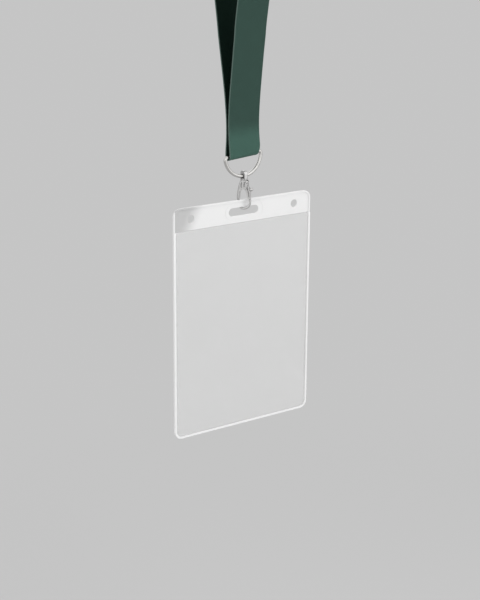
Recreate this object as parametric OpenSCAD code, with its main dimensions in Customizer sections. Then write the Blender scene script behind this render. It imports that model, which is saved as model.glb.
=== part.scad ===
// Badge wallet on a neck lanyard, hanging at rest.
// X runs to the wearer's left along the holder's width, Y runs from its front to its back, Z is up.
// The origin is the inside of the ribbon loop at its top, where the neck or a peg carries it.

/* [Lanyard] */
// Width of the woven ribbon
ribbon_w = 25; // [20:0.5:28]
// Thickness of the woven ribbon
ribbon_t = 0.9; // [0.7:0.1:1.1]
// Bevel along the ribbon's edges
ribbon_bevel = 0.25; // [0.1:0.05:0.3]
// Length of the sewn lap where the ribbon's ends meet
lap_len = 30; // [20:1:40]

/* [Ring] */
// Diameter of the ring's wire
ring_wire_d = 2.4; // [2:0.1:2.8]
// Radius of the ring's two top corners at the wire's centre
ring_corner_r = 1.8; // [1.6:0.1:2.6]
// Gap between the ribbon's edge and the ring's corner
ring_side_gap = 0.2; // [0.2:0.1:1]
// Gap between the ring's bar and the ribbon that it rests in
ring_seat_gap = 0.15; // [0.1:0.05:0.25]
// From the ring's middle to the hook that hangs from it
ring_over = 0.95; // [0:0.05:2]
// Lean of the ring in its own plane, in degrees
ring_lean = 4.5; // [0:0.5:8]

/* [Swivel eye] */
// Play between the ring's wire and the eye
eye_play = 0.25; // [0.15:0.05:0.4]
// Thickness of the eye's two legs
eye_leg_t = 1; // [0.9:0.05:1.2]
// Width of the eye along the ring's wire
eye_w = 2.6; // [2.2:0.1:3]
// Height of the eye's crown over its legs' round
eye_crown = 1.15; // [0.9:0.05:1.4]
// Radius of the eye's round collar
collar_r = 2.6; // [2.55:0.05:2.8]
// Thickness of the eye's round collar
collar_t = 1.05; // [0.9:0.05:1.2]
// Bevel round the collar's lower edge
collar_bevel = 0.3; // [0.2:0.05:0.4]
// Diameter of the swivel post under the eye
post_d = 1.5; // [1.2:0.1:1.6]
// Diameter of the post's peened end
peen_d = 2.1; // [1.9:0.1:2.2]
// Thickness of the post's peened end
peen_t = 0.5; // [0.4:0.1:0.6]
// Radial play of the post in the hook's head
post_play = 0.05; // [0.03:0.01:0.08]
// Gap between the eye's foot and the hook's head
swivel_gap = 0.15; // [0.1:0.05:0.25]

/* [Hook] */
// From the centre of the ring's wire down to the inside of the hook's bend
hook_drop = 21.4; // [20.5:0.1:24]
// Diameter of the hook's bend and nose
leg_d = 1.6; // [1.5:0.1:1.8]
// Diameter of the hook's spine beside the opening
spine_d = 2.2; // [2:0.1:2.4]
// Radius of the bend's centre line on the spine's side
bend_r = 3.6; // [3.5:0.1:3.9]
// Radius of the bend's centre line on the nose's side
nose_r = 4.1; // [4:0.1:4.4]
// Width of the head at its top
head_w = 4.6; // [4.4:0.1:5]
// Height of the head
head_h = 6.5; // [6.4:0.1:7]
// Thickness of the head
head_t = 3.4; // [3.2:0.1:4]
// Thickness of the head's top plate that the post turns in
head_plate_t = 1.5; // [1.4:0.1:1.6]
// Depth of the grooves along the head's two faces
groove_d = 0.45; // [0.3:0.05:0.5]
// Height of the nose above the bend's centre line
nose_h = 6.3; // [6:0.1:6.6]
// Turn of the hook about the plumb line, in degrees
hook_turn = -45; // [-60:5:-35]

/* [Gate] */
// Distance of the gate's pivot from the plumb line
pivot_out = 2.2; // [2.15:0.05:2.4]
// Depth of the gate's pivot below the head's top
pivot_drop = 1.3; // [1.25:0.05:1.4]
// Diameter of the gate's pin
pin_d = 0.8; // [0.6:0.1:0.9]
// Radial play of the gate on its pin
pin_play = 0.05; // [0.03:0.01:0.08]
// Diameter of the pin's round heads
pin_head_d = 2; // [1.6:0.1:2.2]
// Rise of the pin's round heads
pin_head_t = 0.45; // [0.3:0.05:0.6]
// Thickness of the gate
gate_t = 1.7; // [1.4:0.1:1.8]
// Width of the gate across its middle
gate_w = 2; // [1.8:0.1:2.1]
// Gap between the gate's end and the nose
gate_end_gap = 0.35; // [0.3:0.05:0.5]
// Depth of the channels along the gate's two faces
channel_d = 0.4; // [0.3:0.05:0.45]
// Gap on each side of the gate between the head's cheeks
cheek_gap = 0.1; // [0.05:0.05:0.15]
// Angle through which the gate opens, in degrees
gate_open = 18; // [10:1:18]
// Diameter of the thumb ball
ball_d = 2.8; // [2.4:0.1:3]
// Diameter of the gate spring's wire
spring_wire_d = 0.25; // [0.2:0.01:0.28]
// Turns of the gate spring
spring_turns = 3; // [2:1:3]

/* [Holder] */
// Width of the holder
holder_w = 113; // [100:1:130]
// Height of the holder
holder_h = 160; // [130:1:190]
// Radius of the holder's corners
corner_r = 5.5; // [3:0.5:8]
// Height of the header above the card pocket
header_h = 15.8; // [15.4:0.2:22]
// Thickness of each plastic sheet
sheet_t = 0.35; // [0.25:0.05:0.4]
// Width of the welded rim
rim_w = 1.2; // [1:0.1:2]
// Rise of the welded rim above the window
rim_rise = 0.1; // [0.05:0.05:0.3]
// Rise of the welded rim above the header
header_rise = 0.5; // [0.3:0.05:0.6]
// Inside depth of the card pocket
pocket_d = 0.75; // [0.75:0.05:1.4]
// Height of the slit that the card goes in through
slit_h = 0.4; // [0.3:0.1:0.8]
// Length of the hook's slot
slot_w = 24.5; // [18:0.5:30]
// Height of the hook's slot
slot_h = 5.7; // [5:0.1:6]
// From the holder's top edge down to the slot
slot_drop = 4.95; // [4.75:0.05:5.15]
// Offset of the welded oval from the slot's edge
oval_out = 2.6; // [2:0.1:3]
// Width of the welded oval
oval_w = 1; // [0.6:0.1:1.2]
// Depth of the welded oval
oval_d = 0.12; // [0.08:0.02:0.15]
// Diameter of the two side holes
hole_d = 5.5; // [4:0.1:7]
// From the holder's side edge to a side hole's centre
hole_in = 13.85; // [10:0.05:20]
// From the holder's top edge to a side hole's centre
hole_drop = 8; // [6.5:0.1:9]
// Set back of the holder, which brings its weight under the hook
holder_back = 0.42; // [0.3:0.02:0.6]
// Gap between the hook's bend and the slot's edge above it
hang_gap = 0.45; // [0.4:0.05:0.7]

/* [Card] */
// Thickness of the insert card
card_t = 0.3; // [0.2:0.05:0.4]
// How much tighter the card's corners are than the pocket's
card_corner_gap = 0.8; // [0.8:0.1:1.4]
// Gap between the card and the pocket's side
card_side_gap = 0.7; // [0.5:0.1:2]
// Gap between the card and the window, and below the card
card_gap = 0.05; // [0.05:0.01:0.1]

/* [Hidden] */
$fn = 48;

// Overrun of every cut past the face that it opens
cut = 1;
// Gap between the lap and the ribbon that it lies on
lap_gap = 0.05;
// Gap in a wire inside each weld, and the weld's swell over the wire
weld_gap = 0.04;
weld_swell = 0.04;

// Centre line of the ribbon's front half, as (y, z) from the fold at the ring up to the loop's top
front_route = [
    [0, -411.8], [-0.9, -411.6], [-1.7, -411.1], [-2.2, -410.4], [-2.4, -409.4],
    [-2.2, -405.5], [-1.5, -399], [-1.15, -391], [-1.5, -382], [-2.9, -369],
    [-5.6, -352], [-8.9, -332], [-12.3, -311], [-31, -217], [-49, -123], [-59, -71],
    [-59, -49], [-52, -29.5], [-38.5, -13.5], [-20.5, -3], [0, 0.5]
];
// Bow of the ribbon to the ring's side between the ring and the neck
ribbon_bow = 3;
// Heights between which the ribbon's lean at the ring dies out
lean_foot_z = -402;
lean_top_z = -372;
// The route's points between which the lap lies, on the back strand
lap_from = 13;
lap_to = 14;

route_last = len(front_route) - 1;
function mirrored(p) = [-p[0], p[1]];
route = concat(front_route, [for (i = [route_last - 1 : -1 : 1]) mirrored(front_route[i])]);

// The fold, the ring and what hangs from it
fold_z = front_route[0][1];
bar_z = fold_z + ribbon_t / 2 + ring_seat_gap + ring_wire_d / 2;
bar_half = ribbon_w / 2 + ring_side_gap;
ring_arc_r = ring_corner_r + sqrt(pow(bar_half, 2) + pow(ring_corner_r, 2));
corner_turn = atan2(ring_corner_r, bar_half);
wire_z = bar_z - sqrt(pow(ring_arc_r, 2) - pow(ring_over, 2));

// The swivel eye, measured down from the centre of the ring's wire
eye_hole_r = ring_wire_d / 2 + eye_play;
eye_r = eye_hole_r + eye_leg_t;
foot_z = -eye_hole_r - collar_t;
head_z = foot_z - swivel_gap;
plate_z = head_z - head_plate_t;
peen_gap = swivel_gap;
peen_room_share = 3;
hollow_h = peen_t + peen_room_share * peen_gap;

// The hook in its own plane: x across it, z up from the centre of the ring's wire
bend_z = -hook_drop - leg_d / 2;
nose_z = bend_z + nose_h;
pivot_z = head_z - pivot_drop;
gate_foot_z = nose_z + gate_end_gap;
gate_len = pivot_z - gate_foot_z;
// Round of the gate's tail, the head's ear round it and the gate's own knuckle
tail_share = 0.125;
ear_share = 0.0455;
knuckle_share = 0.4;
tail_r = pin_d / 2 + spring_wire_d + (gate_w - pin_d) * tail_share;
ear_r = tail_r + (head_h - tail_r) * ear_share;
// Outline of the head's cheeks, as shares of the head's width and height
head_shares = [
    [-0.48, 0], [0.41, 0], [0.64, -0.3], [0.6, -0.59], [0.41, -0.87], [0.24, -1.04], [0.17, -1.06],
    [0.04, -0.985], [-0.08, -0.93], [-0.17, -0.92], [-0.26, -0.945], [-0.34, -1.03], [-0.41, -1.19],
    [-0.72, -1.19], [-0.63, -0.52]
];
// Outlines of the grooves along the head's faces, as shares of the head's width and height
head_groove_shares = [
    [[-0.37, -0.26], [-0.3, -0.22], [-0.24, -0.26], [-0.27, -0.74], [-0.34, -0.82], [-0.42, -0.74]],
    [[0.05, -0.24], [0.11, -0.2], [0.17, -0.24], [0.13, -0.66], [0.07, -0.72], [0.01, -0.66]]
];
// Way of the spine from the head to the bend, as shares of the bend's radius and the hook's drop
spine_shares = [[-0.49, -0.184], [-0.68, -0.294], [-0.85, -0.435], [-0.97, -0.57], [-1.01, -0.68]];
// Outline of the gate below its tail, as shares of its width and length from the pivot
gate_shares = [
    [-0.36, 0], [-0.4, -0.25], [-0.57, -0.44], [-0.58, -0.48], [-0.45, -0.57], [-0.175, -0.705],
    [0.025, -0.86], [0.15, -1], [1.3, -1], [1.32, -0.86], [1.28, -0.76], [1.17, -0.62], [0.97, -0.475],
    [0.72, -0.3], [0.5, -0.175], [0.38, 0]
];
// Outline of the channels along the gate's faces, as shares of its width and length from the pivot
channel_shares = [
    [-0.1, -0.36], [0.25, -0.55], [0.5, -0.76], [0.56, -0.88], [0.7, -0.91], [0.83, -0.88],
    [0.76, -0.76], [0.51, -0.55], [0.16, -0.36], [0.03, -0.33]
];
// The thumb ball's place, as shares of the gate's width and length from the pivot
ball_shares = [1.3, -0.44];
// Widening of the gate's slot in the head, as shares of the gate's width at the pivot and the opening
slot_top_share = 0.53;
slot_foot_share = 1.85;

// The spring on the gate's pin
pitch_share = 1.15;
spring_pitch = spring_wire_d * pitch_share;
spring_r = pin_d / 2 + pin_play + spring_wire_d / 2 + pin_play;
spring_len = spring_turns * spring_pitch + spring_wire_d;
tail_t = gate_t - spring_len - cheek_gap;

// The holder, measured from the centre of its top edge
holder_z = wire_z - hook_drop + hang_gap + slot_drop;
front_y = pocket_d + sheet_t;
card_w = holder_w - 2 * (rim_w + card_side_gap);
card_top = -header_h - card_gap;
card_h = holder_h - header_h - rim_w - 2 * card_gap;
card_r = corner_r - rim_w - card_corner_gap;

// Points of a closed loop, each joined by the curve's own midpoint to the next
function wrapped(list, i) = list[(i + len(list)) % len(list)];
function midpoint(list, i) =
    (9 * (wrapped(list, i) + wrapped(list, i + 1)) - wrapped(list, i - 1) - wrapped(list, i + 2)) / 16;
function smoothed(list) = [for (i = [0 : len(list) - 1]) each [list[i], midpoint(list, i)]];
function unit(v) = v / norm(v);

// One ring of the ribbon: eight points round its section, square to the way it runs
function shift_at(z) = -ring_over * z / fold_z - ribbon_bow * sin(180 * max(0, z / fold_z));
function lean_at(z) = ring_lean * max(0, min(1, (lean_top_z - z) / (lean_top_z - lean_foot_z)));
function ribbon_section(half_w, half_t, b) = [
    [half_w, half_t - b], [half_w - b, half_t], [b - half_w, half_t], [-half_w, half_t - b],
    [-half_w, b - half_t], [b - half_w, -half_t], [half_w - b, -half_t], [half_w, b - half_t]
];
function ribbon_ring(list, i) =
    let (
        here = wrapped(list, i),
        along = unit(wrapped(list, i + 1) - wrapped(list, i - 1)),
        out = [0, along[1], -along[0]],
        side = [cos(lean_at(here[1])), 0, sin(lean_at(here[1]))]
    )
    [for (p = ribbon_section(ribbon_w / 2, ribbon_t / 2, ribbon_bevel))
        [shift_at(here[1]), here[0], here[1]] + p[0] * side + p[1] * out];

// Faces of a tube of rings, closed end to end or capped
function tube_wall(rings, sides, closed) = [
    for (i = [0 : rings - (closed ? 1 : 2)], j = [0 : sides - 1])
        let (
            a = i * sides + j,
            b = i * sides + (j + 1) % sides,
            c = ((i + 1) % rings) * sides + (j + 1) % sides,
            d = ((i + 1) % rings) * sides + j
        )
        each [[a, b, c], [a, c, d]]
];
function tube_caps(rings, sides) = [
    [for (j = [sides - 1 : -1 : 0]) j],
    [for (j = [0 : sides - 1]) (rings - 1) * sides + j]
];

module lanyard_ribbon() {
    path = smoothed(route);
    color([0.17, 0.28, 0.25])
    polyhedron(
        [for (i = [0 : len(path) - 1]) each ribbon_ring(path, i)],
        tube_wall(len(path), len(ribbon_section(ribbon_w, ribbon_t, 0)), true),
        convexity = 8
    );
}

module lanyard_lap() {
    low = mirrored(front_route[lap_from]);
    high = mirrored(front_route[lap_to]);
    middle = (low + high) / 2;
    tilt = atan2(high[0] - low[0], high[1] - low[1]);
    color([0.19, 0.31, 0.28])
    translate([shift_at(middle[1]), middle[0], middle[1]])
    rotate([-tilt, 0, 0])
    translate([0, ribbon_t + lap_gap, 0])
    cube([ribbon_w, ribbon_t, lap_len], center = true);
}

// A round wire bent to an arc of the x-z plane, from one angle to another
module bent_wire(r, d, from, to) {
    rotate([90, 0, 0])
    rotate([0, 0, from])
    rotate_extrude(angle = to - from)
    translate([r, 0])
    circle(d = d);
}

// A round wire bent to an arc, cut back a little inside the welds at its ends
module welded_wire(r, d, from, to) {
    back_off = 180 * weld_gap / (PI * r);
    bent_wire(r, d, from + back_off, to - back_off);
}

module d_ring() {
    color("silver")
    translate([-ring_over, 0, bar_z])
    rotate([0, -ring_lean, 0]) {
        translate([weld_gap - bar_half, 0, 0])
        rotate([0, 90, 0])
        cylinder(d = ring_wire_d, h = 2 * (bar_half - weld_gap));
        translate([bar_half, 0, -ring_corner_r])
        welded_wire(ring_corner_r, ring_wire_d, -corner_turn, 90);
        translate([-bar_half, 0, -ring_corner_r])
        welded_wire(ring_corner_r, ring_wire_d, 90, 180 + corner_turn);
        welded_wire(ring_arc_r, ring_wire_d, corner_turn - 180, -corner_turn);
        for (side = [-1, 1], end = [[bar_half, 0], ring_arc_r * [cos(corner_turn), -sin(corner_turn)]])
            translate([side * end[0], 0, end[1]])
            sphere(d = ring_wire_d + weld_swell);
    }
}

module swivel_eye() {
    color("silver")
    translate([0, 0, wire_z]) {
        // The arch over the ring's wire, no wider than the collar that it stands on
        intersection() {
            rotate([90, 0, 90])
            linear_extrude(eye_w, center = true)
            difference() {
                union() {
                    translate([0, eye_crown])
                    circle(eye_r);
                    translate([-eye_r, foot_z + collar_t / 2])
                    square([2 * eye_r, eye_crown - foot_z - collar_t / 2]);
                }
                circle(eye_hole_r);
            }
            translate([0, 0, foot_z])
            cylinder(r = eye_r + eye_play / 2, h = eye_crown + eye_r - foot_z);
        }
        translate([0, 0, foot_z])
        cylinder(r1 = collar_r - collar_bevel, r2 = collar_r, h = collar_bevel);
        translate([0, 0, foot_z + collar_bevel])
        cylinder(r = collar_r, h = collar_t - collar_bevel);
        translate([0, 0, plate_z - peen_gap])
        cylinder(d = post_d, h = foot_z - plate_z + peen_gap + collar_t / 2);
        translate([0, 0, plate_z - peen_gap - peen_t])
        cylinder(d = peen_d, h = peen_t);
    }
}

// Puts a shape of the hook's own plane in its place on the ring
module on_hook() {
    translate([0, 0, wire_z])
    rotate([0, 0, hook_turn])
    children();
}

// A flat outline of the hook's plane, centred on it, thick across it
module slab(t) {
    rotate([90, 0, 0])
    linear_extrude(t, center = true)
    children();
}

// A straight round bar between two points of the hook's plane, tapered, with a ball at its first end
module rod(a, b, d_a, d_b) {
    translate([a[0], 0, a[1]]) {
        rotate([0, atan2(b[0] - a[0], b[1] - a[1]), 0])
        cylinder(d1 = d_a, d2 = d_b, h = norm(b - a));
        ball(d_a, 0);
    }
}

// A weld ball on a wire of the hook, with its seam turned clear of the wire
module ball(d, seam) {
    rotate([90, 0, 0])
    rotate([0, 0, seam])
    sphere(d = d + weld_swell);
}

// A shallow cut with a given outline in both faces of a piece of the hook
module both_faces(t, d) {
    for (side = [-1, 1])
        translate([0, side * t / 2, 0])
        slab(2 * d)
        children();
}

module hook_body() {
    spine = concat(
        [for (s = spine_shares) [s[0] * bend_r, s[1] * hook_drop]],
        [[-bend_r, bend_z + bend_r]]
    );
    color("silver")
    on_hook()
    difference() {
        union() {
            slab(head_t)
            polygon([for (s = head_shares) [s[0] * head_w, head_z + s[1] * head_h]]);
            slab(head_t)
            translate([pivot_out, pivot_z])
            circle(ear_r);
            for (i = [0 : len(spine) - 2])
                rod(spine[i], spine[i + 1], spine_d, i < len(spine) - 2 ? spine_d : leg_d);
            translate([0, 0, bend_z + bend_r])
            welded_wire(bend_r, leg_d, -180, -90);
            translate([0, 0, bend_z + nose_r])
            welded_wire(nose_r, leg_d, -90, 0);
            for (p = [[-bend_r, bend_r, 0], [0, 0, 90], [nose_r, nose_r, 180]])
                translate([p[0], 0, bend_z + p[1]])
                ball(leg_d, p[2]);
            translate([nose_r, 0, bend_z + nose_r + weld_gap])
            cylinder(d = leg_d, h = nose_h - nose_r - weld_gap);
        }
        both_faces(head_t, groove_d)
        for (outline = head_groove_shares)
            polygon([for (s = outline) [s[0] * head_w, head_z + s[1] * head_h]]);
        // Bore of the swivel post and the hollow that its peened end turns in
        translate([0, 0, plate_z - cut])
        cylinder(r = post_d / 2 + post_play, h = head_plate_t + 2 * cut);
        translate([0, 0, plate_z - hollow_h])
        cylinder(r = peen_d / 2 + peen_gap, h = hollow_h);
        // Slot of the gate, wide enough for its whole swing
        slab(gate_t + 2 * cheek_gap) {
            translate([pivot_out, pivot_z])
            circle(gate_w * slot_top_share);
            polygon([
                [pivot_out - gate_w * slot_top_share, pivot_z],
                [pivot_out - gate_w * slot_foot_share, head_z - head_h - cut],
                [head_w, head_z - head_h - cut],
                [head_w, pivot_z]
            ]);
        }
        // Bore of the gate's pin
        translate([pivot_out, 0, pivot_z])
        rotate([90, 0, 0])
        cylinder(d = pin_d, h = head_t + cut, center = true);
    }
}

module gate_lever() {
    color("gainsboro")
    on_hook()
    difference() {
        union() {
            slab(gate_t)
            polygon([for (s = gate_shares) [pivot_out + s[0] * gate_w, pivot_z + s[1] * gate_len]]);
            slab(gate_t)
            translate([pivot_out, pivot_z])
            circle(gate_w * knuckle_share);
            translate([pivot_out + ball_shares[0] * gate_w, 0, pivot_z + ball_shares[1] * gate_len])
            sphere(d = ball_d);
        }
        both_faces(gate_t, channel_d)
        polygon([for (s = channel_shares) [pivot_out + s[0] * gate_w, pivot_z + s[1] * gate_len]]);
        translate([pivot_out, 0, pivot_z])
        rotate([90, 0, 0])
        cylinder(r = pin_d / 2 + pin_play, h = gate_t + cut, center = true);
        // Seat of the spring beside the thinned tail
        translate([pivot_out, gate_t / 2, pivot_z])
        rotate([90, 0, 0])
        cylinder(r = gate_w * slot_top_share, h = gate_t - tail_t);
    }
}

module gate_pin() {
    color("silver")
    on_hook()
    translate([pivot_out, 0, pivot_z])
    rotate([90, 0, 0]) {
        cylinder(d = pin_d, h = head_t, center = true);
        for (side = [0, 1])
            mirror([0, 0, side])
            translate([0, 0, head_t / 2])
            intersection() {
                cylinder(d = pin_head_d, h = pin_head_t);
                translate([0, 0, pin_head_t - pin_dome_r])
                sphere(pin_dome_r);
            }
    }
}
pin_dome_r = (pow(pin_head_d / 2, 2) + pow(pin_head_t, 2)) / (2 * pin_head_t);

// The spring's centre line: its turns round the pin, then a leg down the gate's inner edge
spring_steps = 12;
spring_sides = 6;
spring_leg_shares = [-0.525, -0.245];
function spring_turn(i) = 360 * i / spring_steps;
spring_coil = [for (i = [0 : spring_turns * spring_steps])
    [-spring_r * cos(spring_turn(i)), spring_wire_d / 2 + spring_pitch * i / spring_steps,
        spring_r * sin(spring_turn(i))]];
spring_path = concat([[spring_leg_shares[0] * gate_w, spring_wire_d / 2, spring_leg_shares[1] * gate_len]],
    spring_coil);
function spring_ring(i) =
    let (
        last = len(spring_path) - 1,
        here = spring_path[i],
        along = unit(spring_path[min(i + 1, last)] - spring_path[max(i - 1, 0)]),
        side = unit(cross(along, [0, 1, 0])),
        out = cross(side, along)
    )
    [for (j = [0 : spring_sides - 1])
        here + spring_wire_d / 2 * (cos(360 * j / spring_sides) * side + sin(360 * j / spring_sides) * out)];

module gate_spring() {
    color("lightgrey")
    on_hook()
    translate([pivot_out, tail_t - gate_t / 2, pivot_z])
    polyhedron(
        [for (i = [0 : len(spring_path) - 1]) each spring_ring(i)],
        concat(tube_wall(len(spring_path), spring_sides, false), tube_caps(len(spring_path), spring_sides)),
        convexity = 6
    );
}

// Puts a shape of the holder in its place, with the top edge's centre at the hook
module on_holder() {
    translate([0, holder_back, holder_z])
    children();
}

// A sheet of the holder between two depths, from a flat outline of the x-z plane
module sheet(front, back) {
    translate([0, back, 0])
    rotate([90, 0, 0])
    linear_extrude(back - front)
    children();
}

// A flat rectangle with round corners that hangs from the middle of its top edge
module rounded(w, h, r) {
    translate([-w / 2 + r, -h])
    square([w - 2 * r, h]);
    translate([-w / 2, r - h])
    square([w, h - 2 * r]);
    for (x = [r - w / 2, w / 2 - r], y = [-r, r - h])
        translate([x, y])
        circle(r);
}

module outline() {
    rounded(holder_w, holder_h, corner_r);
}

module inner_outline() {
    translate([0, -rim_w])
    rounded(holder_w - 2 * rim_w, holder_h - 2 * rim_w, corner_r - rim_w);
}

// The hook's slot, grown by an offset all round
module slot_outline(grow) {
    half = (slot_w - slot_h) / 2;
    translate([0, -slot_drop - slot_h / 2]) {
        translate([-half, -slot_h / 2 - grow])
        square([2 * half, slot_h + 2 * grow]);
        for (side = [-1, 1])
            translate([side * half, 0])
            circle(slot_h / 2 + grow);
    }
}

// The slot and the two side holes, cut through a sheet
module header_cuts(front, back) {
    sheet(front - cut, back + cut)
    slot_outline(0);
    for (side = [-1, 1])
        translate([side * (holder_w / 2 - hole_in), back + cut, -hole_drop])
        rotate([90, 0, 0])
        cylinder(d = hole_d, h = back - front + 2 * cut);
}

module back_sheet() {
    color([0.93, 0.94, 0.94])
    on_holder()
    difference() {
        sheet(0, sheet_t)
        outline();
        header_cuts(0, sheet_t);
    }
}

module header_panel() {
    color([0.95, 0.96, 0.96])
    on_holder()
    difference() {
        sheet(-sheet_t - header_rise, 0)
        outline();
        translate([-holder_w, -holder_w, -holder_h - cut])
        cube([2 * holder_w, 2 * holder_w, holder_h + cut - header_h]);
        // The face inside the rim, and the slit between the rim's two sides
        sheet(-sheet_t - header_rise - cut, -sheet_t)
        inner_outline();
        translate([rim_w - holder_w / 2, -sheet_t - header_rise - cut, -header_h - cut])
        cube([holder_w - 2 * rim_w, sheet_t + header_rise + 2 * cut, slit_h + cut]);
        header_cuts(-sheet_t - header_rise, 0);
        // The welded oval round the slot
        difference() {
            sheet(-sheet_t - cut, oval_d - sheet_t)
            slot_outline(oval_out + oval_w);
            sheet(-sheet_t - 2 * cut, oval_d - sheet_t + cut)
            slot_outline(oval_out);
        }
    }
}

module front_window() {
    color([0.86, 0.87, 0.87])
    on_holder()
    difference() {
        sheet(-front_y - rim_rise, 0)
        outline();
        translate([-holder_w, -holder_w, -header_h])
        cube([2 * holder_w, 2 * holder_w, header_h + cut]);
        sheet(-pocket_d, cut)
        inner_outline();
        sheet(-front_y - rim_rise - cut, -front_y)
        inner_outline();
    }
}

module insert_card() {
    color("white")
    on_holder()
    translate([0, 0, card_top])
    sheet(card_gap - pocket_d, card_gap - pocket_d + card_t)
    rounded(card_w, card_h, card_r);
}

lanyard_ribbon();
lanyard_lap();
d_ring();
swivel_eye();
hook_body();
gate_lever();
gate_pin();
gate_spring();
back_sheet();
header_panel();
front_window();
insert_card();
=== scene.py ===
"""A badge wallet on a neck lanyard: woven ribbon, plated ring and hook, vinyl holder and card."""

import math
import random

import bpy
from bpy.props import FloatProperty, FloatVectorProperty, PointerProperty
from mathutils import Matrix, Vector, noise


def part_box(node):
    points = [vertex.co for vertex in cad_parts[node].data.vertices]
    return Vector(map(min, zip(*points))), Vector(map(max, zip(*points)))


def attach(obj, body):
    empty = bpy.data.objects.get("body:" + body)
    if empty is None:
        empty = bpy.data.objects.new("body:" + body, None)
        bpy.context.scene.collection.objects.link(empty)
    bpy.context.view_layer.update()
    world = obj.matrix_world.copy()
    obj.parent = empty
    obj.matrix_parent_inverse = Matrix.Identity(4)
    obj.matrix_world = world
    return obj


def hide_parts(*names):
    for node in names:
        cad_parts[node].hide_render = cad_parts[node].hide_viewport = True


bl_info = {
    "name": "Badge wallet",
    "version": (1, 0, 0),
    "blender": (4, 5, 0),
    "location": "3D View > Sidebar > Badge",
    "description": "Dresses a badge wallet that hangs from a woven neck lanyard",
    "category": "Object",
}

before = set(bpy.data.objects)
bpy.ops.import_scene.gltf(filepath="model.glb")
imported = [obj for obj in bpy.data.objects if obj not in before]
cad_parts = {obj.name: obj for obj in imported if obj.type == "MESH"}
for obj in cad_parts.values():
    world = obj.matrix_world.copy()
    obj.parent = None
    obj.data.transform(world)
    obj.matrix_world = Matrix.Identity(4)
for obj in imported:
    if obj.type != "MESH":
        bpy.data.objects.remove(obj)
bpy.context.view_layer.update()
MM = 0.001

# The camera, measured from the middle of the holder's top edge
CAMERA_AZIMUTH = math.radians(-35.908)
CAMERA_ELEVATION = math.radians(16.611)
CAMERA_ROLL = math.radians(0.403)
CAMERA_AIM = Vector((0.0, 0.00355, -0.07121))
CAMERA_DISTANCE = 0.9456
CAMERA_LENS = 82.7
CAMERA_SENSOR = 36

# Each lamp's way from its aim, its distance and its width
LAMPS = {
    "key": ((0.45, -0.9, 0.45), 1.4, 2.6),
    "fill": ((-0.9, -0.35, 0.3), 1.4, 1.5),
    "top": ((0.1, 0.25, 1.0), 1.1, 1.6),
    "back": ((0.3, 0.9, 0.35), 1.5, 1.8),
}
# The height that the lamps aim at, from the holder's top edge
LAMP_AIM = -0.04
FLOOR_REACH = 40.0

# Centre line of the ribbon's front half, as (y, z) from the fold at the ring up to the loop's top
FRONT_ROUTE = [
    (0, -0.4118), (-0.0009, -0.4116), (-0.0017, -0.4111), (-0.0022, -0.4104), (-0.0024, -0.4094),
    (-0.0022, -0.4055), (-0.0015, -0.399), (-0.00115, -0.391), (-0.0015, -0.382), (-0.0029, -0.369),
    (-0.0056, -0.352), (-0.0089, -0.332), (-0.0123, -0.311), (-0.031, -0.217), (-0.049, -0.123),
    (-0.059, -0.071), (-0.059, -0.049), (-0.052, -0.0295), (-0.0385, -0.0135), (-0.0205, -0.003),
    (0, 0.0005),
]
# The route is rounded this many times before the ribbon is swept along it
ROUTE_ROUNDINGS = 4
# On its way down the ribbon slants by the ring's offset from the hook, and bows to that side
RING_OVER = 0.00095
RIBBON_BOW = 0.003
# The ribbon's lean at the ring dies out between these heights
LEAN = math.radians(4.5)
LEAN_FOOT_Z = -0.402
LEAN_TOP_Z = -0.372
# Heights between which the ribbon's colour goes from paler painted light near the fold to its plain colour
FOLD_LIGHT_FOOT_Z = -0.4
FOLD_LIGHT_TOP_Z = -0.387
# The sewn lap lies between these points of the route, on the back strand
LAP_FROM, LAP_TO = 13, 14

RIBBON_HALF = 12.5 * MM
RIBBON_THICK = 0.9 * MM
# Each face's height over the ribbon's middle, as a share of its thickness
FACE_SHARE = 0.41
# The selvage's section, as millimetres from the edge and a share of the thickness
SELVAGE = [(0.0, 0.0), (0.06, 0.27), (0.22, 0.42), (0.5, 0.5), (0.85, 0.49), (1.1, 0.42), (1.35, 0.4)]
# The ripple starts this many millimetres from the fold, and grows to full over the next so many
RIPPLE_START, RIPPLE_GROWTH = 8, 20
# Ripples to the metre along the ribbon and across it
RIPPLES_ALONG, RIPPLES_ACROSS = 28, 45
LAP_LENGTH = 30 * MM
LAP_GAP = 0.05 * MM
# The sewn box: half its width and height, the pitch of its stitches and the radius of their thread
SEAM_HALF = (9.8 * MM, 12.4 * MM)
STITCH_PITCH = 2.3 * MM
THREAD_RADIUS = 0.17 * MM
# One stitch, as shares of its pitch and heights over the face in thread radii, and its tapered ends
STITCH_ARC = [(0.06, -0.5), (0.16, 0.35), (0.5, 0.6), (0.84, 0.35), (0.94, -0.5)]
STITCH_TAPER = 0.35
# How far a stitch strays to either side, in millimetres
STITCH_STRAY = 0.04
WEAVE_MAP = "weave"

# The weld round the holder's sheets, the pocket's corners inside it, and the band that the weld's
# milkiness sets in over, measured outward from its inner line
WELD_WIDTH = 1.2 * MM
POCKET_CORNER = 4.3 * MM
WELD_BAND = (-0.9 * MM, 0.2 * MM)
WELD_HAZE = 0.95
# The painted shade on the header's left end stops between these places, which slant with the height
LEFT_SHADE_X = (0.1755, 0.1905)
LEFT_SHADE_SLANT = 0.5


# Shader sums


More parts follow.
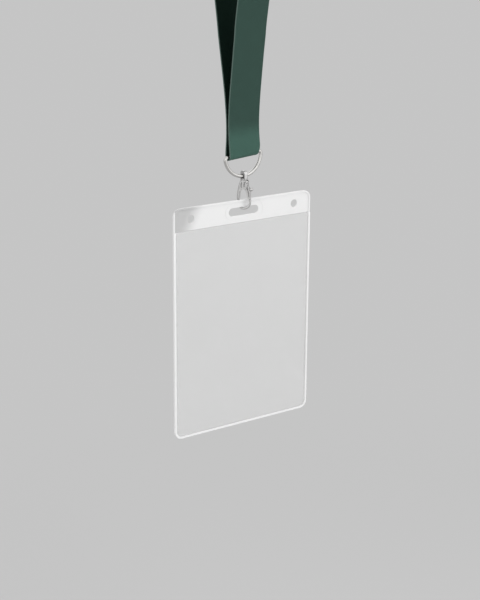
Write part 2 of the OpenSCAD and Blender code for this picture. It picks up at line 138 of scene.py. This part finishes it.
class Signal:
    """The value of one socket. Plain sums on it become Math nodes."""

    def __init__(self, finish, socket):
        self.finish = finish
        self.socket = socket

    def sum(self, operation, *values):
        return self.finish.node("ShaderNodeMath", {"operation": operation}, dict(enumerate(values)))

    def __add__(self, other):
        return self.sum("ADD", self, other)

    def __sub__(self, other):
        return self.sum("SUBTRACT", self, other)

    def __rsub__(self, other):
        return self.sum("SUBTRACT", other, self)

    def __mul__(self, other):
        return self.sum("MULTIPLY", self, other)

    def __abs__(self):
        return self.sum("ABSOLUTE", self)

    __radd__ = __add__
    __rmul__ = __mul__

    def sine(self):
        return self.sum("SINE", self)

    def root(self):
        return self.sum("SQRT", self)

    def at_least(self, other):
        return self.sum("MAXIMUM", self, other)


class Finish:
    """A material's or a world's node tree, with the one method that adds any node to it."""

    def __init__(self, owner):
        owner.use_nodes = True
        self.owner = owner
        self.tree = owner.node_tree
        self.tree.nodes.clear()

    def node(self, kind, settings=None, sockets=None, output=0):
        made = self.tree.nodes.new(kind)
        for name, value in (settings or {}).items():
            setattr(made, name, value)
        for name, value in (sockets or {}).items():
            if isinstance(value, Signal):
                self.tree.links.new(value.socket, made.inputs[name])
            else:
                made.inputs[name].default_value = value
        return Signal(self, made.outputs[output]) if made.outputs else None

    def split(self, vector):
        first = self.node("ShaderNodeSeparateXYZ", None, {0: vector})
        return [Signal(self, socket) for socket in first.socket.node.outputs]

    def place(self):
        """The point's place in the part's frame, in metres."""
        return self.node("ShaderNodeTexCoord", output=3)

    def noise(self, size, detail=2.0):
        """Soft blotches of about this size, in metres."""
        sockets = {"Scale": 1 / size, "Detail": detail, "Vector": self.place()}
        return self.node("ShaderNodeTexNoise", None, sockets)

    def step(self, value, low, high):
        """Nought below low, one above high, and smooth between."""
        sockets = {"Value": value, "From Min": low, "From Max": high}
        return self.node("ShaderNodeMapRange", {"interpolation_type": "SMOOTHSTEP"}, sockets)

    def mix(self, share, first, second):
        """A colour on the way from first to second."""
        sockets = {0: share, 6: first, 7: second}
        return self.node("ShaderNodeMix", {"data_type": "RGBA"}, sockets, output=2)

    def bump(self, height, depth, normal=None):
        sockets = {"Height": height, "Distance": depth}
        if normal:
            sockets["Normal"] = normal
        return self.node("ShaderNodeBump", None, sockets)

    def seen(self):
        """One for the rays that show the backdrop: the camera's, and those thrown back or let through."""
        rays = self.node("ShaderNodeLightPath").socket.node.outputs
        seen = Signal(self, rays["Is Camera Ray"])
        for name in ("Is Glossy Ray", "Is Transmission Ray"):
            seen = seen.at_least(Signal(self, rays[name]))
        return seen

    def rounded_edges(self, radius):
        return self.node("ShaderNodeBevel", {"samples": 6}, {"Radius": radius})

    def openness(self, reach):
        """Nought in a tight hollow, one where nothing stands within this reach."""
        return self.node("ShaderNodeAmbientOcclusion", {"samples": 12}, {"Distance": reach}, output=1)

    def end(self, shader, kind="Material"):
        self.node(f"ShaderNodeOutput{kind}", None, {"Surface": shader})
        return self.owner

    def plastic_or_metal(self, **sockets):
        named = {name.replace("_", " "): value for name, value in sockets.items()}
        return self.end(self.node("ShaderNodeBsdfPrincipled", None, named))


def new_finish(name):
    return Finish(bpy.data.materials.new(name))


def opaque(colour, factor=1.0):
    """The colour made lighter or darker by this factor, with an alpha of one."""
    return (*(value * factor for value in colour), 1.0)


def dress(node_name, material):
    """Gives a CAD node its finish."""
    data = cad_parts[node_name].data
    data.materials.clear()
    data.materials.append(material)


# The ribbon's line


def wrapped(points, i):
    return points[i % len(points)]


def smoothed(points):
    """A closed line with a point added on its curve between each two."""
    out = []
    for i, here in enumerate(points):
        near = here + wrapped(points, i + 1)
        far = wrapped(points, i - 1) + wrapped(points, i + 2)
        out += [here, (9 * near - far) / 16]
    return out


def closed_route():
    """The points of the ribbon's line, up the front strand and down the back one."""
    front = [Vector((shift_at(z), y, z)) for y, z in FRONT_ROUTE]
    back = [Vector((p.x, -p.y, p.z)) for p in front[-2:0:-1]]
    return front + back


def shift_at(z):
    """How far to the side the ribbon's middle stands at this height."""
    share = z / FRONT_ROUTE[0][1]
    return -RING_OVER * share - RIBBON_BOW * math.sin(math.pi * max(0.0, share))


def lean_at(z):
    """The ribbon's lean at this height: the whole of it at the fold, and none higher up."""
    return LEAN * max(0.0, min(1.0, (LEAN_TOP_Z - z) / (LEAN_TOP_Z - LEAN_FOOT_Z)))


class Station:
    """A place on the ribbon's line: its point, the ways across and inward, and the length up to it."""

    def __init__(self, point, along, length):
        lean = lean_at(point.z)
        self.point = point
        self.side = Vector((math.cos(lean), 0, math.sin(lean)))
        self.inward = Vector((0, along.z, -along.y))
        self.length = length

    def at(self, across, height):
        return self.point + across * self.side + height * self.inward


def stations(points):
    made, length = [], 0.0
    for i, here in enumerate(points):
        along = (wrapped(points, i + 1) - wrapped(points, i - 1)).normalized()
        made.append(Station(here, along, length))
        length += (wrapped(points, i + 1) - here).length
    return made, length


def ribbon_line():
    """The ribbon's stations along its rounded route, and its whole length."""
    points = closed_route()
    for _ in range(ROUTE_ROUNDINGS):
        points = smoothed(points)
    return stations(points)


def ribbon_profile():
    """The whole woven section, as (across, height): two flat faces between the thicker selvages."""
    edge = [(RIBBON_HALF - x * MM, RIBBON_THICK * share) for x, share in SELVAGE]
    middle = [(RIBBON_HALF * share, RIBBON_THICK * FACE_SHARE) for share in (0.8, 0.6, 0.4, 0.2, 0.0)]
    right = edge + middle
    upper = right + [(-x, h) for x, h in reversed(right[:-1])]
    return upper + [(x, -h) for x, h in reversed(upper[1:-1])]


def sweep(name, places, profile, total=None):
    """A strip swept through rings of points, closed on itself where its total length is given."""
    count, sides = len(places), len(profile)
    verts = [point for ring, _ in places for point in ring]
    faces, uvs = [], []
    for i in range(count if total else count - 1):
        low = places[i][1]
        high = places[i + 1][1] if i + 1 < count else total
        for j in range(sides):
            k = (j + 1) % sides
            a, b = i * sides, (i + 1) % count * sides
            faces.append((a + j, a + k, b + k, b + j))
            here, beside = profile[j][0], profile[k][0]
            uvs += [(low, here), (low, beside), (high, beside), (high, here)]
    if not total:
        for ring, length in ((0, places[0][1]), (count - 1, places[-1][1])):
            order = range(sides) if ring else range(sides - 1, -1, -1)
            faces.append(tuple(ring * sides + j for j in order))
            uvs += [(length, profile[j][0]) for j in order]
    mesh = bpy.data.meshes.new(name)
    mesh.from_pydata(verts, [], faces)
    layer = mesh.uv_layers.new(name=WEAVE_MAP)
    for loop, uv in zip(layer.data, uvs):
        loop.uv = uv
    mesh.shade_smooth()
    obj = bpy.data.objects.new(name, mesh)
    bpy.context.scene.collection.objects.link(obj)
    return obj


def wear_both(strip, settings, sides):
    """Gives a woven strip its face outside, and inside a dark colour that is painted shade for the shadow
    between the strands.
    """
    outside = woven_finish(strip.name, settings, settings.colour)
    # Painted shade: the inner faces take the dark inside colour
    inside = woven_finish(strip.name + "_inside", settings, settings.inside, 0.2)
    strip.data.materials.append(outside)
    strip.data.materials.append(inside)
    for i, face in enumerate(strip.data.polygons):
        face.material_index = int(i % sides < sides // 2)


def tube(points, radius, sides=6):
    """The points and faces of one short thread along an open line."""
    verts, faces = [], []
    last = len(points) - 1
    for i, here in enumerate(points):
        along = (points[min(i + 1, last)] - points[max(i - 1, 0)]).normalized()
        side = along.orthogonal().normalized()
        up = along.cross(side)
        r = radius * (STITCH_TAPER if i in (0, last) else 1.0)
        for j in range(sides):
            turn = math.tau * j / sides
            verts.append(here + r * (math.cos(turn) * side + math.sin(turn) * up))
    for i in range(last):
        for j in range(sides):
            k = (j + 1) % sides
            faces.append((i * sides + j, i * sides + k, (i + 1) * sides + k, (i + 1) * sides + j))
    faces.append(tuple(range(sides - 1, -1, -1)))
    faces.append(tuple(last * sides + j for j in range(sides)))
    return verts, faces


# Settings


class BadgeStage(bpy.types.PropertyGroup):
    backdrop: FloatVectorProperty(
        name="Backdrop", description="Colour of the floor and of the air behind the part",
        subtype="COLOR", size=3, min=0, max=1, default=(0.56, 0.56, 0.56))
    floor_drop: FloatProperty(
        name="Floor", description="From the holder's foot down to the floor",
        subtype="DISTANCE", unit="LENGTH", default=0.35)
    key_power: FloatProperty(
        name="Key light", description="Power of the large soft light in front", unit="POWER", default=16.8)
    fill_power: FloatProperty(
        name="Fill light", description="Power of the soft light on the left", unit="POWER", default=6.5)
    top_power: FloatProperty(
        name="Top light", description="Power of the soft light overhead", unit="POWER", default=3.5)
    back_power: FloatProperty(
        name="Back light", description="Power of the soft light behind", unit="POWER", default=5.0)
    air: FloatProperty(
        name="Air", description="Brightness of the light from all round", default=0.55)


class BadgeRibbon(bpy.types.PropertyGroup):
    colour: FloatVectorProperty(
        name="Ribbon", description="Colour of the ribbon's face",
        subtype="COLOR", size=3, min=0, max=1, default=(0.028, 0.068, 0.053))
    # Painted shade: the inner face's colour is darkened to stand for the shadow between the two strands
    inside: FloatVectorProperty(
        name="Inside", description="Colour of the ribbon's inner face",
        subtype="COLOR", size=3, min=0, max=1, default=(0.003, 0.012, 0.008))
    # Painted highlight: the selvage colour lightens the ribbon's edges; the sewing thread is also tinted
    # from it
    selvage: FloatVectorProperty(
        name="Selvage", description="Colour of the ribbon's woven edges",
        subtype="COLOR", size=3, min=0, max=1, default=(0.1, 0.15, 0.13))
    thread: FloatProperty(
        name="Thread pitch", description="Distance from one thread to the next",
        subtype="DISTANCE", unit="LENGTH", default=0.00042)
    squeeze: FloatProperty(
        name="Squeeze", description="How far the ribbon's right edge is drawn in at the fold",
        subtype="DISTANCE", unit="LENGTH", default=0.0026)
    squeeze_reach: FloatProperty(
        name="Squeeze reach", description="How far up from the fold the ribbon is drawn in",
        subtype="DISTANCE", unit="LENGTH", default=0.009)
    ripple: FloatProperty(
        name="Ripple", description="How far the ribbon's face strays from flat",
        subtype="DISTANCE", unit="LENGTH", default=0.0003)


class BadgeMetal(bpy.types.PropertyGroup):
    ring: FloatVectorProperty(
        name="Ring", description="Colour of the ring's plating",
        subtype="COLOR", size=3, min=0, max=1, default=(0.6, 0.59, 0.575))
    hook: FloatVectorProperty(
        name="Hook", description="Colour of the hook's plating",
        subtype="COLOR", size=3, min=0, max=1, default=(0.56, 0.555, 0.55))
    # Painted shade: the dark colour the plating takes in its hollows and grooves
    hollow_shade: FloatVectorProperty(
        name="Hollow_shade", description="Colour of the plating in the hollows",
        subtype="COLOR", size=3, min=0, max=1, default=(0.05, 0.05, 0.05))


class BadgeHolder(bpy.types.PropertyGroup):
    vinyl: FloatVectorProperty(
        name="Vinyl", description="Colour of the holder's sheets",
        subtype="COLOR", size=3, min=0, max=1, default=(0.97, 0.97, 0.97))
    haze: FloatProperty(
        name="Haze", description="How milky each sheet is, from clear to solid",
        subtype="FACTOR", min=0, max=1, default=0.84)
    pane_haze: FloatProperty(
        name="Pane haze", description="How milky the window over the card is",
        subtype="FACTOR", min=0, max=1, default=0.25)
    # Painted shade: how grey the patch on the header's left end is
    left_shade: FloatProperty(
        name="Left_shade", description="How grey the header's left end is, where its sheets cling together",
        subtype="FACTOR", min=0, max=1, default=0.72)
    weld: FloatVectorProperty(
        name="Weld", description="Colour of the welded rim",
        subtype="COLOR", size=3, min=0, max=1, default=(0.92, 0.92, 0.92))
    card: FloatVectorProperty(
        name="Card", description="Colour of the card",
        subtype="COLOR", size=3, min=0, max=1, default=(0.6, 0.6, 0.6))


# Finishes


def woven_finish(name, settings, colour, shine=1.0):
    """Plain weave, made a little paler toward the fold with painted light, where the ribbon faces up into
    the lamps.
    """
    finish = new_finish(name)
    u, v, _ = finish.split(finish.node("ShaderNodeUVMap", {"uv_map": WEAVE_MAP}))
    turn = math.pi / settings.thread
    threads = (u * turn).sine() * (v * turn).sine()
    uneven = finish.noise(6 * MM, 3.0)
    share = threads * 0.3 + uneven * 0.6 + 0.2
    woven = finish.mix(share, opaque(colour, 0.82), opaque(colour, 1.18))
    # Painted light: paler copies of the ribbon's colour, used near the fold
    fold_light = finish.mix(share, opaque(colour, 1.42), opaque(colour, 1.94))
    z = finish.split(finish.place())[2]
    face = finish.mix(finish.step(z, FOLD_LIGHT_FOOT_Z, FOLD_LIGHT_TOP_Z), fold_light, woven)
    # Painted highlight: the ribbon's edges turn to the paler selvage colour
    edge = finish.step(abs(v), RIBBON_HALF - 0.7 * MM, RIBBON_HALF - 0.2 * MM)
    bare = finish.mix(edge, face, opaque(settings.selvage))
    fuzz = finish.noise(0.25 * MM, 2.0)
    return finish.plastic_or_metal(
        Base_Color=bare,
        Roughness=0.62 + 0.2 * fuzz,
        Sheen_Weight=0.04 * shine,
        Sheen_Roughness=0.45,
        Specular_IOR_Level=0.25 * shine,
        Normal=finish.bump(threads + fuzz * 0.8, 0.09 * MM),
    )


def thread_finish(settings):
    finish = new_finish("sewing_thread")
    twist = finish.noise(0.2 * MM, 2.0)
    return finish.plastic_or_metal(
        Base_Color=finish.mix(twist, opaque(settings.selvage, 0.9), opaque(settings.selvage, 1.5)),
        Roughness=0.5,
        Normal=finish.bump(twist, 0.05 * MM),
    )


def plated_finish(name, settings, colour, dents, rough):
    finish = new_finish(name)
    cloud = finish.noise(2.5 * MM, 3.0)
    pits = finish.noise(0.35 * MM, 2.0)
    waves = finish.noise(1.3 * MM, 2.0)
    soft = finish.rounded_edges(0.22 * MM)
    plate = finish.mix(cloud, opaque(colour, 0.86), opaque(colour, 1.06))
    # Painted shade: where ambient occlusion finds a tight hollow, the plating turns to the dark hollow
    # colour
    bare = finish.step(finish.openness(0.9 * MM), 0.25, 0.85)
    return finish.plastic_or_metal(
        Base_Color=finish.mix(bare, opaque(settings.hollow_shade), plate),
        Metallic=1.0,
        Roughness=rough + 0.14 * cloud + 0.06 * pits,
        Normal=finish.bump(waves + pits * 0.12, dents, soft),
    )


def vinyl_finish(name, settings, pane_box=None, header_half=None):
    """
    Vinyl sheet with a faint haze.

    Inside pane_box (half width, foot, top, corner) it is clearer, and round it stands the milky weld. With
    header_half the sheet is the header's, with a grey patch of painted shade on its left end.
    """
    finish = new_finish(name)
    x, _, z = finish.split(finish.place())
    buckle = finish.noise(45 * MM, 1.0)
    peel = finish.noise(0.7 * MM, 1.0)
    haze = settings.haze
    colour = opaque(settings.vinyl)
    if pane_box:
        half, foot, top, corner = pane_box
        beside = (abs(x) - (half - corner)).at_least(0.0)
        below = (foot + corner - z).at_least(0.0)
        past = (beside * beside + below * below).root() - corner
        weld = finish.step(past, *WELD_BAND).at_least(finish.step(z, top, top + 0.4 * MM))
        haze = weld * (WELD_HAZE - settings.pane_haze) + settings.pane_haze
        colour = finish.mix(weld, colour, opaque(settings.weld))
    if header_half:
        inside = 1.0 - finish.step(abs(x), header_half - 0.1 * MM, header_half + 0.1 * MM)
        # Painted shade: a soft grey patch on the header's left end, with a slanted edge
        left_shade = (1.0 - finish.step(x - z * LEFT_SHADE_SLANT, *LEFT_SHADE_X)) * inside * settings.left_shade
        colour = finish.mix(left_shade, colour, opaque(settings.vinyl, 0.5))
    return finish.plastic_or_metal(
        Base_Color=colour,
        Alpha=haze,
        Roughness=0.16 + 0.1 * buckle,
        Normal=finish.bump(buckle + peel * 0.001, 1.2 * MM),
    )


def card_finish(settings):
    finish = new_finish("card_stock")
    fibre = finish.noise(0.4 * MM, 3.0)
    cloud = finish.noise(30 * MM, 2.0)
    tone = fibre * 0.4 + cloud * 0.6
    return finish.plastic_or_metal(
        Base_Color=finish.mix(tone, opaque(settings.card, 0.97), opaque(settings.card, 1.03)),
        Roughness=0.7,
        Specular_IOR_Level=0.3,
        Normal=finish.bump(fibre, 0.01 * MM),
    )


# Operators


class BADGE_OT_stage(bpy.types.Operator):
    """Make the camera, the lights, the floor and the air"""

    bl_idname = "badge.stage"
    bl_label = "Stage"

    def execute(self, context):
        scene = context.scene
        settings = scene.badge_stage
        scene.unit_settings.system = "METRIC"
        scene.view_settings.view_transform = "Standard"
        self.camera(scene)
        self.floor(scene, settings)
        self.air(scene, settings)
        aim = self.holder_top() + Vector((0, 0, LAMP_AIM))
        for lamp, (way, away, size) in LAMPS.items():
            power = getattr(settings, f"{lamp}_power")
            self.light(scene, f"{lamp}_light", aim, Vector(way).normalized() * away, size, power)
        return {"FINISHED"}

    @staticmethod
    def holder_top():
        low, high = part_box("back_sheet")
        return Vector((0, (low.y + high.y) / 2, high.z))

    def camera(self, scene):
        data = bpy.data.cameras.new("camera")
        data.lens = CAMERA_LENS
        data.sensor_width = CAMERA_SENSOR
        data.clip_start = 0.01
        camera = bpy.data.objects.new("camera", data)
        scene.collection.objects.link(camera)
        turn = (
            Matrix.Rotation(CAMERA_AZIMUTH, 4, "Z")
            @ Matrix.Rotation(math.pi / 2 - CAMERA_ELEVATION, 4, "X")
            @ Matrix.Rotation(CAMERA_ROLL, 4, "Z")
        )
        aim = Vector((0, 0, self.holder_top().z)) + CAMERA_AIM
        back = Matrix.Translation((0, 0, CAMERA_DISTANCE))
        camera.matrix_world = Matrix.Translation(aim) @ turn @ back
        scene.camera = camera

    def light(self, scene, name, aim, offset, size, power):
        data = bpy.data.lights.new(name, "AREA")
        data.shape = "DISK"
        data.size = size
        data.energy = power
        lamp = bpy.data.objects.new(name, data)
        lamp.location = aim + offset
        lamp.rotation_euler = offset.to_track_quat("Z", "Y").to_euler()
        lamp.visible_camera = False
        scene.collection.objects.link(lamp)

    def floor(self, scene, settings):
        low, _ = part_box("front_window")
        z = low.z - settings.floor_drop
        mesh = bpy.data.meshes.new("floor")
        corners = [(x * FLOOR_REACH, y * FLOOR_REACH, z) for x, y in ((-1, -1), (1, -1), (1, 1), (-1, 1))]
        mesh.from_pydata(corners, [], [(0, 1, 2, 3)])
        floor = bpy.data.objects.new("floor", mesh)
        scene.collection.objects.link(floor)
        finish = new_finish("floor")
        x, y, _ = finish.split(finish.place())
        away = (x * x + y * y).root()
        far = finish.step(away, settings.floor_drop, 3 * settings.floor_drop) * finish.seen()
        black = opaque((0, 0, 0))
        mesh.materials.append(finish.plastic_or_metal(
            Base_Color=finish.mix(far, opaque(settings.backdrop), black),
            Roughness=0.9,
            Specular_IOR_Level=0.0,
            Emission_Color=finish.mix(far, black, opaque(settings.backdrop)),
            Emission_Strength=1.0,
        ))

    def air(self, scene, settings):
        scene.world = bpy.data.worlds.new("air")
        finish = Finish(scene.world)
        colour = finish.mix(finish.seen(), opaque((settings.air,) * 3), opaque(settings.backdrop))
        shader = finish.node("ShaderNodeBackground", None, {"Color": colour})
        finish.end(shader, "World")


class BADGE_OT_ribbon(bpy.types.Operator):
    """Weave the ribbon's loop round the ring's bar"""

    bl_idname = "badge.ribbon"
    bl_label = "Ribbon"

    def execute(self, context):
        settings = context.scene.badge_ribbon
        line, total = ribbon_line()
        profile = ribbon_profile()
        places = [([self.place(s, total, x, h, settings) for x, h in profile], s.length) for s in line]
        ribbon = sweep("woven_ribbon", places, profile, total)
        wear_both(ribbon, settings, len(profile))
        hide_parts("lanyard_ribbon")
        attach(ribbon, "lanyard")
        return {"FINISHED"}

    @staticmethod
    def place(station, total, across, height, settings):
        """A point of the ribbon's skin, drawn in on the right at the fold and rippled away from it."""
        from_fold = min(station.length, total - station.length)
        near = max(0.0, 1 - from_fold / settings.squeeze_reach)
        if across > 0:
            across -= settings.squeeze * near * near * across / RIBBON_HALF
        free = min(1.0, max(0.0, from_fold / MM - RIPPLE_START) / RIPPLE_GROWTH)
        ripple = noise.noise(Vector((station.length * RIPPLES_ALONG, across * RIPPLES_ACROSS, 0.5)))
        return station.at(across, height + free * settings.ripple * ripple)


class BADGE_OT_lap(bpy.types.Operator):
    """Sew the ribbon's end down on the back strand"""

    bl_idname = "badge.lap"
    bl_label = "Sewn lap"

    def execute(self, context):
        settings = context.scene.badge_ribbon
        low = Vector((0, -FRONT_ROUTE[LAP_FROM][0], FRONT_ROUTE[LAP_FROM][1]))
        high = Vector((0, -FRONT_ROUTE[LAP_TO][0], FRONT_ROUTE[LAP_TO][1]))
        along = (low - high).normalized()
        middle = (low + high) / 2
        middle.x = shift_at(middle.z)
        profile = ribbon_profile()
        rise = -RIBBON_THICK - LAP_GAP
        half = LAP_LENGTH / 2
        # The cut ends are melted: they thicken a little and close
        end = [(x * MM - half, share) for x, share in ((0, 0.5), (0.12, 0.9), (0.5, 1.05), (1.1, 1.0))]
        other_end = [(-x, share) for x, share in reversed(end)]
        marks = end + [(x * MM, 1.0) for x in range(-12, 13, 3)] + other_end
        places = []
        for x, share in marks:
            station = Station(middle + along * x, along, x)
            places.append(([station.at(a, rise + h * share) for a, h in profile], x))
        lap = sweep("ribbon_lap", places, profile)
        wear_both(lap, settings, len(profile))
        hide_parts("lanyard_lap")
        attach(lap, "lanyard")
        stitches = self.stitches(context, settings, Station(middle, along, 0.0), along, rise)
        self.declare(bpy.data.objects["woven_ribbon"], [lap, stitches])
        return {"FINISHED"}

    @staticmethod
    def declare(ribbon, pieces):
        """Works out the ribbon's line and lists its points again, and keeps nothing of them; the lap and
        its stitches passed in are not used.
        """
        line, total = ribbon_line()
        [tuple(s.point) for s in line] + [tuple(line[0].point)]

    def stitches(self, context, settings, station, along, rise):
        """A sewn box with a cross, in a thread that shows on both faces."""
        wide, tall = SEAM_HALF
        corners = [(-wide, -tall), (wide, -tall), (wide, tall), (-wide, tall)]
        runs = [(corners[i], corners[(i + 1) % 4]) for i in range(4)]
        runs += [(corners[0], corners[2]), (corners[1], corners[3])]
        verts, faces = [], []
        inner = RIBBON_THICK * FACE_SHARE
        outer = rise - inner
        draw = random.Random(5)
        for start, end in runs:
            start, end = Vector(start), Vector(end)
            count = round((end - start).length / STITCH_PITCH)
            step = (end - start) / count
            for face, way in ((outer, -1), (inner, 1)):
                for i in range(count):
                    line = []
                    for share, height in STITCH_ARC:
                        flat = start + step * (i + share)
                        flat.x += draw.uniform(-STITCH_STRAY, STITCH_STRAY) * MM
                        over = face + way * height * THREAD_RADIUS
                        line.append(station.at(flat.x, over) + along * flat.y)
                    made, rings = tube(line, THREAD_RADIUS)
                    base = len(verts)
                    verts += made
                    faces += [tuple(base + k for k in ring) for ring in rings]
        mesh = bpy.data.meshes.new("lap_stitches")
        mesh.from_pydata(verts, [], faces)
        mesh.shade_smooth()
        mesh.materials.append(thread_finish(settings))
        obj = bpy.data.objects.new("lap_stitches", mesh)
        context.scene.collection.objects.link(obj)
        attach(obj, "lanyard")
        return obj


class BADGE_OT_metal(bpy.types.Operator):
    """Plate the ring, the swivel eye, the hook and its gate"""

    bl_idname = "badge.metal"
    bl_label = "Plated metal"

    def execute(self, context):
        settings = context.scene.badge_metal
        dress("d_ring", plated_finish("ring_plate", settings, settings.ring, 0.03 * MM, 0.24))
        cast = plated_finish("hook_plate", settings, settings.hook, 0.06 * MM, 0.26)
        for name in ("swivel_eye", "hook_body", "gate_lever"):
            dress(name, cast)
        wire = plated_finish("bright_wire", settings, settings.hook, 0.01 * MM, 0.2)
        for name in ("gate_pin", "gate_spring"):
            dress(name, wire)
        return {"FINISHED"}


class BADGE_OT_holder(bpy.types.Operator):
    """Give the holder's sheets their vinyl"""

    bl_idname = "badge.holder"
    bl_label = "Vinyl holder"

    def execute(self, context):
        settings = context.scene.badge_holder
        low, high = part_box("front_window")
        half = high.x - WELD_WIDTH
        pane_box = (half, low.z + WELD_WIDTH, high.z, POCKET_CORNER)
        pane = vinyl_finish("vinyl_pane", settings, pane_box=pane_box)
        dress("back_sheet", pane)
        dress("front_window", pane)
        dress("header_panel", vinyl_finish("vinyl_header", settings, header_half=half))
        return {"FINISHED"}


class BADGE_OT_card(bpy.types.Operator):
    """Give the card its stock"""

    bl_idname = "badge.card"
    bl_label = "Card"

    def execute(self, context):
        dress("insert_card", card_finish(context.scene.badge_holder))
        return {"FINISHED"}


class BADGE_PT_panel(bpy.types.Panel):
    """Lists the part's pieces and what can be set for them"""

    bl_idname = "BADGE_PT_panel"
    bl_label = "Badge wallet"
    bl_space_type = "VIEW_3D"
    bl_region_type = "UI"
    bl_category = "Badge"

    def draw(self, context):
        for group, operators in PANEL.items():
            box = self.layout.box()
            settings = getattr(context.scene, group)
            for name in settings.bl_rna.properties.keys():
                if name not in ("rna_type", "name"):
                    box.prop(settings, name)
            for operator in operators:
                box.operator(operator.bl_idname)


SETTINGS = {
    "badge_stage": BadgeStage,
    "badge_ribbon": BadgeRibbon,
    "badge_metal": BadgeMetal,
    "badge_holder": BadgeHolder,
}
PANEL = {
    "badge_stage": (BADGE_OT_stage,),
    "badge_ribbon": (BADGE_OT_ribbon, BADGE_OT_lap),
    "badge_metal": (BADGE_OT_metal,),
    "badge_holder": (BADGE_OT_holder, BADGE_OT_card),
}
OPERATORS = [operator for operators in PANEL.values() for operator in operators]


def register():
    for made in (*SETTINGS.values(), *OPERATORS, BADGE_PT_panel):
        bpy.utils.register_class(made)
    for name, group in SETTINGS.items():
        setattr(bpy.types.Scene, name, PointerProperty(type=group))


def unregister():
    for name in SETTINGS:
        delattr(bpy.types.Scene, name)
    for made in reversed((*SETTINGS.values(), *OPERATORS, BADGE_PT_panel)):
        bpy.utils.unregister_class(made)


def main():
    register()
    for operator in OPERATORS:
        getattr(bpy.ops.badge, operator.bl_idname.split(".")[1])()


if __name__ == "__main__":
    main()
